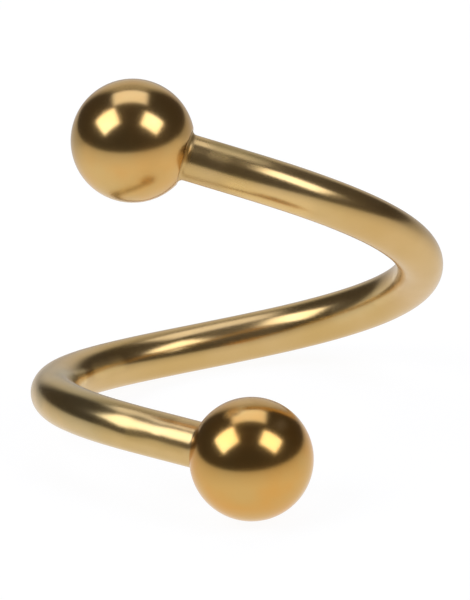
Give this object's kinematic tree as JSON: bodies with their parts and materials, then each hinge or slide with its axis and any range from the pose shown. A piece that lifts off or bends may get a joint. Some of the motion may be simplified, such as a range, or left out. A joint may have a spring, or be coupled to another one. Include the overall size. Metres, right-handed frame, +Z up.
{
  "type": "spiral barbell",
  "caption": "Round gold-coloured wire wound into nearly one left-handed turn, with a screw-on ball on each end.",
  "frame": {"origin": "on the table, under the middle of the part's bounding box as it lies at rest", "axes": "+Z up from the table; the two balls are at the front, towards -Y; +X to the right seen from the front, with the upper ball on the left"},
  "size_m": [0.0108, 0.0128, 0.0104],
  "materials": {
    "gold_wire": "polished gold-coloured coating on steel",
    "gold_ball": "polished gold-coloured coating on steel"
  },
  "bodies": {
    "bar": {"spiral_bar": "gold_wire"},
    "upper_ball": {"upper_ball": "gold_ball"},
    "lower_ball": {"lower_ball": "gold_ball"}
  },
  "joints": [
    {"name": "upper_ball_off", "type": "slide", "parent": "bar", "child": "upper_ball", "axis": [-0.9361, 0.1293, 0.327], "range_m": [0, 0.0023]},
    {"name": "lower_ball_off", "type": "slide", "parent": "bar", "child": "lower_ball", "axis": [0.859, -0.5024, -0.0983], "range_m": [0, 0.0023]}
  ]
}
